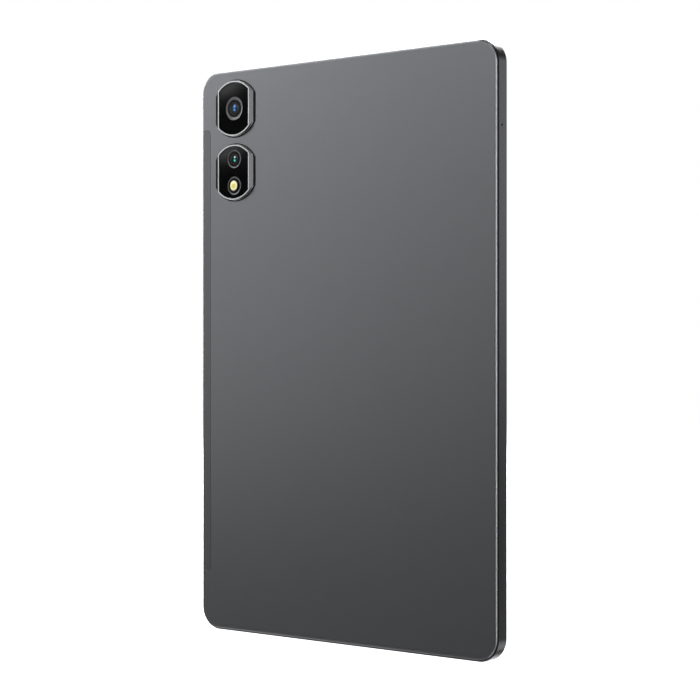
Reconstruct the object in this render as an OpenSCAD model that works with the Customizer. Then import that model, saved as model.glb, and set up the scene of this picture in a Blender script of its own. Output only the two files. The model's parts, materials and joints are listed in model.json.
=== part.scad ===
// Tablet computer with an aluminium back, a plastic antenna strip along one long side
// and two camera islands. It stands upright on its short side: Z runs up the long side,
// the screen faces -Y, the cameras face +Y, and X is to the right seen from the screen.
// The origin is under the middle of the body, at its lowest edge. Millimetres.

/* [Body] */
// Width across the short side
body_w = 168.5; // [166:0.5:176]
// Height along the long side
body_h = 257; // [255:0.5:262]
// Thickness from the screen glass to the back
body_t = 7.5; // [7.5:0.1:8.5]
// Corner radius seen from the front
corner_r = 10; // [8:0.5:14]
// Rounding between the back and the sides
back_edge_r = 1.4; // [0.8:0.1:1.8]
// Thickness of the side walls
side_wall = 1.6; // [1.4:0.1:1.8]
// Thickness of the back wall
back_wall = 1.0; // [0.8:0.1:1.2]

/* [Antenna strip] */
// Width of the plastic strip on the back
strip_w = 5.6; // [4:0.2:7]
// Distance from each short side to the strip
strip_gap = 26.7; // [24:0.1:32]

/* [Screen] */
// Width of the lit area
screen_w = 147.4; // [146:0.2:148]
// Height of the lit area
screen_h = 235.9; // [234:0.2:237]
// Thickness of the cover glass
glass_t = 0.7; // [0.5:0.1:0.8]

/* [Cameras] */
// Distance from the long side to the middle of both islands
island_inset = 21.5; // [20:0.05:24]
// Distance from the top to the middle of the upper island
island_top = 17.8; // [17.5:0.1:20]
// Distance between the middles of the two islands
island_pitch = 29.2; // [28.8:0.1:30]
// Half height of an island's metal ring
island_r = 12.6; // [12.4:0.05:12.75]
// Half width of an island's flat top
island_half_w = 9.75; // [9.55:0.05:9.9]
// Height of the islands above the back
island_h = 1.55; // [1.4:0.05:1.8]

/* [Keys and tray] */
// Length of the power key
power_len = 11.4; // [8:0.2:14]
// Length of the volume rocker
volume_len = 24; // [20:0.5:25]
// Width of the keys and of the card tray's face
key_w = 2.16; // [1.8:0.02:2.4]
// Height of the keys above the side
key_proud = 0.5; // [0.3:0.05:0.7]

/* [Hidden] */
$fn = 64;

graphite = [0.28, 0.285, 0.30];
strip_grey = [0.24, 0.245, 0.26];
black = [0.04, 0.04, 0.045];
steel = [0.70, 0.71, 0.73];
board_green = [0.05, 0.22, 0.16];
flex_amber = [0.55, 0.33, 0.08];
gold = [0.80, 0.62, 0.25];
glass_tint = [0.02, 0.02, 0.025, 0.7];

// Planes across the thickness, from the screen (-Y) to the back (+Y)
front_y = -body_t / 2;
back_y = body_t / 2;
glass_back_y = front_y + glass_t;
print_t = 0.05;
adhesive_y = glass_back_y + print_t;
cell_y = adhesive_y + 0.15;
backlight_y = cell_y + 0.9;
display_back_y = backlight_y + 1.1;
inner_back_y = back_y - back_wall;
rim_y = front_y + 0.5;
lip_y = front_y + 0.3;
ledge_y = front_y + 1.15;
front_edge_r = 0.45;
front_rim_w = 0.62;
lip_w = 0.4;
frame_flange_w = 1.9;
fit_gap = 0.05;
// Depth by which shapes that are one piece enter each other
overlap = 0.1;

half_w = body_w / 2;
mid_z = body_h / 2;
wall_x = half_w - side_wall;
top_wall_z = body_h - side_wall;
strip_x = half_w - strip_w;
strip_corner_r = 2;
key_y = -0.2;

// Display module
module_w = screen_w + 3.1;
module_h = screen_h + 2.6;
tray_wall = 0.3;
tray_floor = 0.2;
guide_gap = 0.1;

// Boards
board_y = 0.55;
board_t = 0.8;
board_back_y = board_y + board_t;
board_left = -78;
board_right = 50;
board_low = 178;
board_high = 232;
board_ear_x = 80;
board_ear_z = 199;
usb_board_w = 46;
usb_board_low = 3;
usb_board_high = 21;
can_t = 1.3;
can_sheet = 0.15;
chip_t = 0.9;
flex_t = 0.12;
flex_gap = 0.1;
flex_plug_len = 4;
flex_plug_inset = 1;
display_flex_half_w = 10;
display_flex_bend = 1.6;
display_flex_start = 0.4;
display_plug_z = 226;
main_flex_half_w = 6;
main_flex_low = 13;
main_flex_high = 184;
board_hole_gap = 0.1;
notch_gap = 0.1;
graphite_sheet_t = 0.08;

// USB-C socket
usb_mouth = 0.15;
usb_back_t = 0.4;
tongue_w = 6.7;
tongue_t = 0.7;
tongue_start = 1;
tongue_foot_t = 0.5;
tongue_foot_gap = 0.1;

// Screws
screw_r = 0.7;
screw_head_r = 1.25;
screw_head_t = 0.6;
screw_len = 1.9;
screw_hole_gap = 0.02;
boss_r = 2;
board_screws = [[-74, 182], [-74, 228], [-30, 228], [46, 229], [46, 182]];
usb_screws = [[-19, 17], [19, 17]];
screw_places = concat(board_screws, usb_screws);

// Battery
cell_w = 67;
cell_low = 44;
cell_len = 128;
cell_front_y = -0.55;
cell_t = 3.2;
cell_gap = 2;
cell_seal_inset = 3;
cell_seal_half_t = 0.3;
cell_seal_len = 1.2;
battery_board_half_w = 60;
battery_board_front_y = 0.3;
battery_board_back_y = 1.7;
battery_board_h = 3.6;
lead_x = -42;
lead_y = 0.1;
lead_r = 0.45;
lead_pitch = 1.6;
lead_len = 3.4;
lead_plug_half_w = 3;
lead_plug_front_y = -0.4;
lead_plug_low = 3.2;
lead_plug_high = 7.2;

// Speakers
speaker_x = 38;
speaker_w = 28;
speaker_h = 19;
speaker_front_y = -0.8;
speaker_t = 3.5;
speaker_gap = 0.3;
speaker_cone_r = 5;
speaker_cone_depth = 0.4;
mesh_t = 0.2;
mesh_w = 20;
mesh_h = 3;
mesh_gap = 0.02;
grille_holes = 8;
grille_pitch = 2.2;
grille_r = 0.5;

// Keys, their switches, and the microphone
key_stem_r = 0.8;
power_flange_z = top_wall_z - 0.15;
power_flange_t = 0.6;
power_stem_len = 1.4;
volume_flange_x = wall_x - 0.4;
volume_flange_t = 0.5;
volume_stem_len = 1;
switch_gap = 0.4;
switch_half_w = 2.5;
switch_low = 1.6;
switch_high = 0.4;
switch_front_y = -1.6;
switch_back_y = 1.2;
switch_cap_r = 1.1;
switch_cap_t = 0.5;
mic_size = 3;
mic_t = 1;
gasket_r = 1.2;
front_module_half_w = 2.5;
front_module_front_y = -2.1;
front_module_back_y = 0.4;

// Tray, ejector and antennas
tray_rail = 1.2;
lever_front_y = -0.45;
lever_back_y = 0.15;
lever_hub_r = 0.85;
lever_pin_gap = 0.04;
eject_gap = 0.1;
eject_sink = 0.4;
antenna_depth = 0.15;
antenna_gap = 0.02;
antenna_front_y = -1.5;
antenna_back_y = 2.3;

// Camera islands
island_x = half_w - island_inset;
main_z = body_h - island_top;
second_z = main_z - island_pitch;
lens_offset = 6.1;
base_t = 0.22;
base_y = back_y + base_t;
island_y = back_y + island_h - 0.02;
arc_shift = 1.1;
facet_w = 1.4;
base_margin = 0.7;
base_r = island_r + base_margin;
base_half_w = island_half_w + facet_w + 1.2;
ring_rim_w = 0.62;
window_r = island_r - ring_rim_w;
window_half_w = island_half_w - ring_rim_w;
window_t = 0.6;
window_y = island_y - window_t;
window_sink = 0.03;
lens_dome = 0.5;
lens_sink = 0.2;
flash_chip_sink = 0.8;
flash_lens_sink = 0.6;
main_ring_r = 5.35;
main_ring_bore = 4;
small_ring_r = 4.23;
small_ring_bore = 3.5;
main_hole_r = 6.5;
small_hole_r = 4.75;
sleeve_gap = 0.05;
main_sleeve_bore = 4.6;
small_sleeve_bore = 3.7;
main_barrel_r = 3.9;
small_barrel_r = 3.2;
main_lens_r = 2.6;
small_lens_r = 2.1;
barrel_y = window_y - 0.35;
camera_front_y = -0.55;
camera_back_y = 2.6;
camera_plug_x = 43;
camera_plug_w = 4;
flash_lens_r = 2.35;
flash_board = [8, 7];
flash_board_y = 1.9;
flash_chip_w = 2.4;

// USB-C socket
usb_w = 8.34;
usb_h = 2.56;
usb_sheet = 0.3;
usb_depth = 7.2;
usb_gap = 0.03;

// Front camera, in the long side's bezel
front_camera_x = half_w - 5.75;
front_camera_r = 1.9;
front_window_r = 1.6;

// Microphone
mic_z = 221.2;
mic_y = 0.25;
mic_r = 0.45;

// Keys
power_x = 60;
volume_z = 213;
slot_gap = 0.07;
rocker_end_gap = 0.15;
volume_stem_z = 9;

// Card tray and its ejector
tray_z = 188;
tray_face_len = 15.06;
tray_face_t = 1.4;
tray_end_x = 59.2;
tray_plate_y = -0.6;
tray_plate_t = 0.8;
tray_low_z = tray_z - 4.4;
tray_high_z = tray_z + 7;
eject_z = tray_z - 5.9;
eject_r = 0.45;
pin_hole_r = 0.5;
lever_x = 56.4;
lever_z = eject_z + 3.9;
lever_arm = 4.4;
lever_half_t = 0.4;
lever_pin_r = 0.36;
socket_x0 = 53;
socket_x1 = 81.5;
socket_z0 = 180.2;
socket_z1 = 196.2;
socket_front_y = -0.8;

// A flat shape drawn in X and Z, given depth from y0 to y1
module depth(y0, y1) {
    translate([0, y1, 0]) rotate([90, 0, 0]) linear_extrude(y1 - y0) children();
}

// A box between two corners
module block(low, high) {
    translate(low) cube(high - low);
}

// A rod along Y
module rod_y(r, y0, y1) {
    translate([0, y1, 0]) rotate([90, 0, 0]) cylinder(r = r, h = y1 - y0);
}

// A rectangle with round corners, around the origin
module round_rect(w, h, r) {
    square([w - 2 * r, h], center = true);
    square([w, h - 2 * r], center = true);
    for (sx = [-1, 1], sz = [-1, 1])
        translate([sx * (w / 2 - r), sz * (h / 2 - r)]) circle(r);
}

// A rectangle with half-round ends, longest along its first direction
module pill(len, w) {
    square([len - w, w], center = true);
    for (side = [-1, 1])
        translate([side * (len - w) / 2, 0]) circle(w / 2);
}

// A sheet with the body's outline, inset on all sides
module body_sheet(inset, y0, y1) {
    translate([0, 0, mid_z]) depth(y0, y1)
        round_rect(body_w - 2 * inset, body_h - 2 * inset, corner_r - inset);
}

// Section of the body's edge, from a corner's axis out to the side
module edge_section() {
    flat_r = corner_r - back_edge_r;
    translate([0, rim_y]) square([flat_r, back_y - rim_y]);
    translate([0, rim_y]) square([corner_r - front_edge_r, back_y - back_edge_r - rim_y]);
    translate([0, rim_y + front_edge_r])
        square([corner_r, back_y - back_edge_r - rim_y - front_edge_r]);
    translate([flat_r, back_y - back_edge_r]) circle(back_edge_r);
    translate([corner_r - front_edge_r, rim_y + front_edge_r]) circle(front_edge_r);
}

// One quarter of the solid body, with its corner and half of both sides
module slab_quarter() {
    cx = half_w - corner_r;
    cz = mid_z - corner_r;
    block([0, rim_y, 0], [cx, back_y, cz]);
    translate([cx, 0, 0]) linear_extrude(cz) edge_section();
    translate([cx, 0, cz]) rotate([0, -90, 0]) linear_extrude(cx) edge_section();
    translate([cx, 0, cz]) rotate([-90, 0, 0]) rotate([0, 0, -90])
        rotate_extrude(angle = 90) edge_section();
}

// The body's outer form, without the screen
module slab() {
    translate([0, 0, mid_z]) {
        slab_quarter();
        mirror([1, 0, 0]) slab_quarter();
        mirror([0, 0, 1]) slab_quarter();
        mirror([1, 0, 0]) mirror([0, 0, 1]) slab_quarter();
    }
}

// The body hollowed out, with the ledge that the screen's frame rests on
module shell() {
    difference() {
        slab();
        body_sheet(side_wall, front_y - 1, inner_back_y);
        body_sheet(front_rim_w, front_y - 1, ledge_y);
    }
}

// The space that the antenna strip takes out of the shell
module strip_space() {
    beyond = 10;
    translate([strip_x + (strip_w + beyond) / 2, 0, mid_z])
        depth(front_y - 1, back_y + 1)
            round_rect(strip_w + beyond, body_h - 2 * strip_gap, strip_corner_r);
}

// A slot through the short side at height z, centred on the keys' plane
module short_side_slot(x, z, len, w) {
    translate([x, key_y, z]) linear_extrude(4, center = true) pill(len, w);
}

// A slot through the long side with the antenna strip
module long_side_slot(z, len, w) {
    translate([half_w, key_y, z]) rotate([0, 90, 0])
        linear_extrude(6, center = true) pill(len, w);
}

// The aluminium back with its walls, bosses and openings
module rear_housing() {
    color(graphite) difference() {
        union() {
            difference() {
                shell();
                strip_space();
            }
            for (p = screw_places)
                translate([p[0], 0, p[1]]) rod_y(boss_r, board_back_y, inner_back_y + 2 * overlap);
        }
        for (p = screw_places)
            translate([p[0], 0, p[1]])
                rod_y(screw_r + screw_hole_gap, board_y, board_y + screw_len + overlap);
        translate([island_x, 0, main_z]) rod_y(main_hole_r, 0, back_y + 1);
        for (side = [-1, 1])
            translate([island_x, 0, second_z + side * lens_offset])
                rod_y(small_hole_r, 0, back_y + 1);
        translate([-half_w - 1, mic_y, mic_z]) rotate([0, 90, 0])
            cylinder(r = mic_r, h = side_wall + 2);
        short_side_slot(0, 0, usb_w + 2 * (usb_sheet + usb_gap), usb_h + 2 * (usb_sheet + usb_gap));
        short_side_slot(power_x, body_h, power_len + 2 * slot_gap, key_w + 2 * slot_gap);
        grilles();
    }
}

// The rows of round sound holes through both short sides
module grilles() {
    for (sx = [-1, 1], z = [0, body_h], i = [0 : grille_holes - 1])
        translate([sx * speaker_x + (i - (grille_holes - 1) / 2) * grille_pitch, key_y, z])
            cylinder(r = grille_r, h = 4, center = true);
}

// The plastic strip that lets the antennas work, with the tray's and the rocker's slots
module antenna_cover() {
    color(strip_grey) difference() {
        intersection() {
            shell();
            strip_space();
        }
        long_side_slot(volume_z, volume_len + 2 * rocker_end_gap, key_w + 2 * slot_gap);
        long_side_slot(tray_z, tray_face_len + 2 * slot_gap, key_w + 2 * slot_gap);
    }
}

// The thin plastic frame around the glass
module front_frame() {
    inset = front_rim_w + fit_gap;
    color(black) difference() {
        body_sheet(inset, lip_y, ledge_y);
        body_sheet(inset + lip_w, front_y - 1, adhesive_y);
        body_sheet(inset + lip_w + frame_flange_w, front_y - 1, ledge_y + 1);
    }
}

// The cover glass
module cover_glass() {
    color(glass_tint)
        body_sheet(front_rim_w + lip_w + 2 * fit_gap, front_y, glass_back_y);
}

// The black border printed behind the glass, open at the screen and the front camera
module bezel_print() {
    color(black) difference() {
        body_sheet(front_rim_w + lip_w + 2 * fit_gap, glass_back_y, adhesive_y);
        translate([0, 0, mid_z]) depth(front_y, 0) round_rect(screen_w, screen_h, 2);
        translate([front_camera_x, 0, mid_z]) rod_y(front_window_r, front_y, 0);
    }
}

// The clear adhesive between the glass and the display
module display_adhesive() {
    color([0.75, 0.8, 0.85, 0.5]) translate([0, 0, mid_z])
        depth(adhesive_y, cell_y) square([module_w, module_h], center = true);
}

// The liquid crystal cell
module lcd_cell() {
    color([0.08, 0.08, 0.10]) translate([0, 0, mid_z])
        depth(cell_y, backlight_y) square([module_w, module_h], center = true);
}

// The clear plate that spreads the backlight
module light_guide() {
    color([0.9, 0.92, 0.95]) translate([0, 0, mid_z])
        depth(backlight_y, display_back_y - tray_floor)
            square([module_w - guide_gap, module_h - guide_gap], center = true);
}

// The steel tray behind the display
module backlight_tray() {
    color(steel) translate([0, 0, mid_z]) difference() {
        depth(backlight_y, display_back_y)
            square([module_w + 2 * tray_wall, module_h + 2 * tray_wall], center = true);
        depth(backlight_y - 1, display_back_y - tray_floor)
            square([module_w, module_h], center = true);
    }
}

// The display's ribbon, folded round the display's top edge to the main board
module display_flex() {
    half = display_flex_half_w;
    plug_half = half - flex_plug_inset;
    cell_top = mid_z + module_h / 2;
    bend_z = cell_top + display_flex_bend;
    start_y = cell_y + display_flex_start;
    back = display_back_y + flex_t;
    color(flex_amber) {
        block([-half, start_y, cell_top], [half, start_y + flex_t, bend_z + flex_t]);
        block([-half, start_y, bend_z], [half, back, bend_z + flex_t]);
        block([-half, display_back_y, display_plug_z], [half, back, bend_z + flex_t]);
        block([-plug_half, back, display_plug_z],
              [plug_half, board_y, display_plug_z + flex_plug_len]);
    }
}

// The main circuit board
module main_board() {
    color(board_green) difference() {
        union() {
            block([board_left, board_y, board_low], [board_right, board_back_y, board_high]);
            block([board_right, board_y, board_low], [board_ear_x, board_back_y, board_ear_z]);
        }
        for (p = board_screws)
            translate([p[0], 0, p[1]]) rod_y(screw_r + board_hole_gap, 0, board_back_y + 1);
    }
}

// A folded steel cover over chips, open towards the board
module shield_can(x0, z0, x1, z1) {
    color(steel) difference() {
        block([x0, board_y - can_t, z0], [x1, board_y, z1]);
        block([x0 + can_sheet, board_y - can_t + can_sheet, z0 + can_sheet],
              [x1 - can_sheet, board_y + 1, z1 - can_sheet]);
    }
}

// A chip on the main board
module chip(x, z, w, h) {
    color([0.10, 0.10, 0.11])
        block([x - w / 2, board_y - chip_t, z - h / 2], [x + w / 2, board_y, z + h / 2]);
}

module shield_can_main() shield_can(-32, 190, 8, 222);
module shield_can_radio() shield_can(14, 196, 40, 220);
module soc_chip() chip(-20, 206, 14, 14);
module memory_chip() chip(-2, 206, 11.5, 13);
module radio_chip() chip(27, 208, 9, 9);

// The heat spreader on the shield cans
module graphite_sheet() {
    y = board_y - can_t;
    color([0.15, 0.15, 0.16]) block([-34, y - graphite_sheet_t, 190], [42, y, 222]);
}

// One flat battery cell with its sealed end
module battery_cell(side) {
    x = side * (cell_w + cell_gap) / 2;
    mid_y = cell_front_y + cell_t / 2;
    color([0.16, 0.16, 0.17]) {
        translate([x, 0, cell_low + cell_len / 2]) depth(cell_front_y, cell_front_y + cell_t)
            round_rect(cell_w, cell_len, 2);
        block([x - cell_w / 2 + cell_seal_inset, mid_y - cell_seal_half_t, cell_low + cell_len - 1],
              [x + cell_w / 2 - cell_seal_inset, mid_y + cell_seal_half_t,
               cell_low + cell_len + cell_seal_len]);
    }
}

module battery_cell_left() battery_cell(-1);
module battery_cell_right() battery_cell(1);

// The battery's protection circuit along both cells
module battery_board() {
    low = cell_low + cell_len + cell_seal_len;
    color([0.85, 0.75, 0.20])
        block([-battery_board_half_w, battery_board_front_y, low],
              [battery_board_half_w, battery_board_back_y, low + battery_board_h]);
}

// The battery's lead and its plug on the main board
module battery_cable() {
    low = cell_low + cell_len + (cell_seal_len + battery_board_h);
    color([0.65, 0.10, 0.08]) {
        for (i = [-1 : 1])
            translate([lead_x + lead_pitch * i, lead_y, low]) cylinder(r = lead_r, h = lead_len);
        block([lead_x - lead_plug_half_w, lead_plug_front_y, low + lead_plug_low],
              [lead_x + lead_plug_half_w, board_y, low + lead_plug_high]);
    }
}

// The lower circuit board, with a notch for the USB-C socket
module usb_board() {
    notch = usb_w / 2 + usb_sheet + notch_gap;
    color(board_green) difference() {
        block([-usb_board_w / 2, board_y, usb_board_low],
              [usb_board_w / 2, board_back_y, usb_board_high]);
        block([-notch, board_y - 1, usb_board_low - 1],
              [notch, board_back_y + 1, usb_depth + notch_gap]);
        for (p = usb_screws)
            translate([p[0], 0, p[1]]) rod_y(screw_r + board_hole_gap, 0, board_back_y + 1);
    }
}

// The steel shell of the USB-C socket
module usb_c_shell() {
    color(steel) translate([0, key_y, 0]) difference() {
        translate([0, 0, usb_mouth]) linear_extrude(usb_depth - usb_mouth)
            pill(usb_w + 2 * usb_sheet, usb_h + 2 * usb_sheet);
        translate([0, 0, -1]) linear_extrude(usb_depth - usb_back_t + 1) pill(usb_w, usb_h);
    }
}

// The contact tongue in the USB-C socket
module usb_c_tongue() {
    back = usb_depth - usb_back_t;
    color(black) {
        translate([0, key_y, (tongue_start + back) / 2])
            cube([tongue_w, tongue_t, back - tongue_start], center = true);
        translate([0, key_y, back - tongue_foot_t]) linear_extrude(tongue_foot_t)
            pill(usb_w - tongue_foot_gap, usb_h - tongue_foot_gap);
    }
}

// The ribbon between the two boards, over the battery
module main_flex() {
    y = display_back_y + flex_gap;
    half = main_flex_half_w;
    plug_half = half - flex_plug_inset;
    plug_low = main_flex_low + 1;
    color(flex_amber) {
        block([-half, y, main_flex_low], [half, y + flex_t, main_flex_high]);
        block([-plug_half, y + flex_t, plug_low], [plug_half, board_y, plug_low + flex_plug_len]);
        block([-plug_half, y + flex_t, main_flex_high - flex_plug_len],
              [plug_half, board_y, main_flex_high]);
    }
}

// A speaker box against a short side (toward = 1 for the top), open at its port
module speaker(side, toward) {
    port = [20, 1.8, 6];
    wall_z = mid_z - side_wall - speaker_gap;
    color([0.07, 0.07, 0.075]) translate([side * speaker_x, 0, mid_z])
        mirror([0, 0, toward > 0 ? 0 : 1]) difference() {
            block([-speaker_w / 2, speaker_front_y, wall_z - speaker_h],
                  [speaker_w / 2, speaker_front_y + speaker_t, wall_z]);
            translate([0, key_y, wall_z - port[2] / 2 + 1]) cube(port, center = true);
            translate([0, 0, wall_z - speaker_h / 2 - 2])
                rod_y(speaker_cone_r, speaker_front_y - 1, speaker_front_y + speaker_cone_depth);
        }
}

module speaker_top_left() speaker(-1, 1);
module speaker_top_right() speaker(1, 1);
module speaker_bottom_left() speaker(-1, -1);
module speaker_bottom_right() speaker(1, -1);

// The four dust meshes behind the sound holes
module speaker_meshes() {
    color([0.12, 0.12, 0.12]) for (sx = [-1, 1], sz = [-1, 1])
        translate([sx * speaker_x, key_y, mid_z + sz * (mid_z - side_wall - mesh_t / 2 - mesh_gap)])
            cube([mesh_w, mesh_h, mesh_t], center = true);
}

// The islands' outline: two flats between two arcs, r from the middle to an arc's peak
module island_outline(r, half) {
    intersection() {
        translate([0, arc_shift]) circle(r + arc_shift);
        translate([0, -arc_shift]) circle(r + arc_shift);
        square([2 * half, 2 * r + 1], center = true);
    }
}

// The dark base between the back and a camera ring, with sleeves through the wall
module camera_base(z, offsets, hole_r, bore_r) {
    color(black) translate([island_x, 0, z]) difference() {
        union() {
            depth(back_y, base_y) island_outline(base_r, base_half_w);
            for (o = offsets)
                translate([0, 0, o]) rod_y(hole_r - sleeve_gap, inner_back_y, back_y + base_t / 2);
        }
        for (o = offsets)
            translate([0, 0, o]) rod_y(bore_r, 0, base_y + 1);
    }
}

module camera_base_main() camera_base(main_z, [0], main_hole_r, main_sleeve_bore);
module camera_base_second() {
    camera_base(second_z, [-lens_offset, lens_offset], small_hole_r, small_sleeve_bore);
}

// A metal ring with a round wall, two slanted sides, a pocket for its window and lens bores
module camera_ring(z, offsets, bore_r) {
    foot = island_half_w + facet_w;
    color([0.45, 0.46, 0.48]) translate([island_x, 0, z]) difference() {
        intersection() {
            depth(base_y, island_y) island_outline(island_r, foot);
            linear_extrude(3 * island_r, center = true) polygon([
                [-foot, base_y], [foot, base_y],
                [island_half_w, island_y], [-island_half_w, island_y]
            ]);
        }
        depth(window_y, island_y + 1) island_outline(window_r, window_half_w);
        for (o = offsets)
            translate([0, 0, o]) rod_y(bore_r, 0, island_y);
    }
}

module camera_ring_main() camera_ring(main_z, [0], main_ring_r + fit_gap);
module camera_ring_second() {
    camera_ring(second_z, [-lens_offset, lens_offset], small_ring_r + fit_gap);
}

// The dark window over an island
module camera_window(z) {
    color(glass_tint) translate([island_x, 0, z])
        depth(window_y, island_y - window_sink)
            island_outline(window_r - fit_gap, window_half_w - fit_gap);
}

module camera_window_main() camera_window(main_z);

// The second island's window has a hole that the flash's lens sits in
module camera_window_second() {
    difference() {
        camera_window(second_z);
        translate([island_x, 0, second_z - lens_offset])
            rod_y(flash_lens_r + fit_gap, 0, island_y + 1);
    }
}

// A satin ring round a lens
module lens_ring(z, outer_r, bore_r) {
    color(steel) translate([island_x, 0, z]) difference() {
        rod_y(outer_r, base_y, window_y);
        rod_y(bore_r, 0, island_y);
    }
}

module lens_ring_main() lens_ring(main_z, main_ring_r, main_ring_bore);
module lens_ring_second() lens_ring(second_z + lens_offset, small_ring_r, small_ring_bore);
module lens_ring_flash() lens_ring(second_z - lens_offset, small_ring_r, small_ring_bore);

// A camera module: its box, its barrel with a bore for the lens, and its ribbon's plug
module camera_body(z, size, barrel_r, bore_r) {
    color(black) translate([island_x, 0, z]) difference() {
        union() {
            block([-size / 2, camera_front_y, -size / 2], [size / 2, camera_back_y, size / 2]);
            rod_y(barrel_r, camera_back_y - overlap, barrel_y);
        }
        rod_y(bore_r, camera_back_y, barrel_y + 1);
    }
}

module main_camera() {
    size = 11.5;
    plug_low = 222;
    plug_high = 226;
    left = island_x - size / 2;
    plug_end = camera_plug_x + camera_plug_w;
    camera_body(main_z, size, main_barrel_r, main_lens_r);
    color(flex_amber) {
        block([left, camera_front_y, plug_high - 2],
              [left + 4, camera_front_y + flex_t, main_z - size / 2]);
        block([camera_plug_x, camera_front_y, plug_low],
              [left + 4, camera_front_y + flex_t, plug_high]);
        block([camera_plug_x, camera_front_y, plug_low], [plug_end, board_y, plug_high]);
    }
}

module second_camera() {
    size = 8;
    z = second_z + lens_offset;
    plug_end = camera_plug_x + camera_plug_w;
    camera_body(z, size, small_barrel_r, small_lens_r);
    color(flex_amber) {
        block([camera_plug_x, camera_front_y, z - 2],
              [island_x - size / 2, camera_front_y + flex_t, z + 2]);
        block([camera_plug_x, camera_front_y, z - 2], [plug_end, board_y, z + 2]);
    }
}

// A lens with a domed front, in its barrel
module lens(z, r) {
    rim_y = barrel_y - lens_sink - lens_dome;
    dome_r = (r * r + lens_dome * lens_dome) / (2 * lens_dome);
    color([0.10, 0.16, 0.35]) translate([island_x, 0, z]) intersection() {
        rod_y(r, camera_back_y, barrel_y);
        translate([0, rim_y + lens_dome - dome_r, 0]) sphere(dome_r);
    }
}

module main_camera_lens() lens(main_z, main_lens_r);
module second_camera_lens() lens(second_z + lens_offset, small_lens_r);

// The flash: its small board and the light-emitting chip
module flash_led() {
    color([0.85, 0.80, 0.55]) translate([island_x, 0, second_z - lens_offset]) {
        depth(flash_board_y, camera_back_y) square(flash_board, center = true);
        depth(camera_back_y, barrel_y - flash_chip_sink) square(flash_chip_w, center = true);
    }
}

// The moulded lens over the flash, flush with the ring's top
module flash_lens() {
    color([0.95, 0.88, 0.55]) translate([island_x, 0, second_z - lens_offset])
        rod_y(flash_lens_r, barrel_y - flash_lens_sink, island_y);
}

// The front camera behind the long side's bezel
module front_camera() {
    color(black) translate([front_camera_x, 0, mid_z]) {
        block([-front_module_half_w, front_module_front_y, -front_module_half_w],
              [front_module_half_w, front_module_back_y, front_module_half_w]);
        rod_y(front_camera_r, adhesive_y, front_module_front_y + overlap);
    }
}

// The microphone on the main board's edge
module microphone() {
    color(gold)
        block([board_left, board_y - mic_t, mic_z - mic_size / 2],
              [board_left + mic_size, board_y, mic_z + mic_size / 2]);
}

// The soft tube between the microphone and its hole in the side
module mic_gasket() {
    length = half_w - side_wall + board_left;
    color(black) translate([-wall_x, mic_y, mic_z]) rotate([0, 90, 0]) difference() {
        cylinder(r = gasket_r, h = length);
        translate([0, 0, -1]) cylinder(r = mic_r, h = length + 2);
    }
}

// The power key: its cap, the flange that keeps it in and the stem over the switch
module power_button() {
    color(graphite) translate([power_x, key_y, 0]) {
        translate([0, 0, power_flange_z - overlap])
            linear_extrude(body_h + key_proud - power_flange_z + overlap) pill(power_len, key_w);
        translate([0, 0, power_flange_z - power_flange_t]) linear_extrude(power_flange_t)
            pill(power_len + 1.2, key_w + 1);
        translate([0, 0, power_flange_z - power_stem_len]) cylinder(r = key_stem_r, h = 1);
    }
}

// The power key's switch
module power_switch() {
    top = power_flange_z - power_stem_len - switch_gap;
    color(steel) {
        block([power_x - switch_half_w, switch_front_y, top - switch_low],
              [power_x + switch_half_w, switch_back_y, top - switch_high]);
        translate([power_x, key_y, top - switch_cap_t]) cylinder(r = switch_cap_r, h = switch_cap_t);
    }
}

// The volume rocker, which tilts about its middle
module volume_rocker() {
    color(graphite) translate([0, key_y, volume_z]) {
        translate([volume_flange_x - overlap, 0, 0]) rotate([0, 90, 0])
            linear_extrude(half_w + key_proud - volume_flange_x + overlap) pill(volume_len, key_w);
        translate([volume_flange_x - volume_flange_t, 0, 0]) rotate([0, 90, 0])
            linear_extrude(volume_flange_t) pill(volume_len + 2, key_w + 1);
        for (side = [-1, 1])
            translate([volume_flange_x - volume_stem_len, 0, side * volume_stem_z])
                rotate([0, 90, 0]) cylinder(r = key_stem_r, h = 0.6);
    }
}

// The two switches behind the volume rocker
module volume_switches() {
    top = volume_flange_x - volume_stem_len - switch_gap;
    color(steel) for (side = [-1, 1]) {
        block([top - switch_low, switch_front_y, volume_z + side * volume_stem_z - switch_half_w],
              [top - switch_high, switch_back_y, volume_z + side * volume_stem_z + switch_half_w]);
        translate([top - switch_cap_t, key_y, volume_z + side * volume_stem_z])
            rotate([0, 90, 0]) cylinder(r = switch_cap_r, h = switch_cap_t);
    }
}

// The card tray: a face flush with the side and a plate with two card pockets
module card_tray() {
    plate_end = half_w - tray_face_t;
    color(strip_grey) difference() {
        union() {
            translate([plate_end, key_y, tray_z]) rotate([0, 90, 0])
                linear_extrude(tray_face_t) pill(tray_face_len, key_w);
            block([tray_end_x, tray_plate_y, tray_low_z],
                  [plate_end + 2 * overlap, tray_plate_y + tray_plate_t, tray_high_z]);
        }
        block([tray_end_x + 1, tray_plate_y - 1, tray_low_z + tray_rail],
              [tray_end_x + 10, tray_plate_y + tray_plate_t + 1, tray_high_z - tray_rail]);
        block([tray_end_x + 11, tray_plate_y - 1, tray_low_z + tray_rail],
              [tray_end_x + 21.5, tray_plate_y + tray_plate_t + 1, tray_high_z - tray_rail]);
        translate([plate_end - 1, key_y, eject_z]) rotate([0, 90, 0])
            cylinder(r = pin_hole_r, h = tray_face_t + 2);
    }
}

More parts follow.
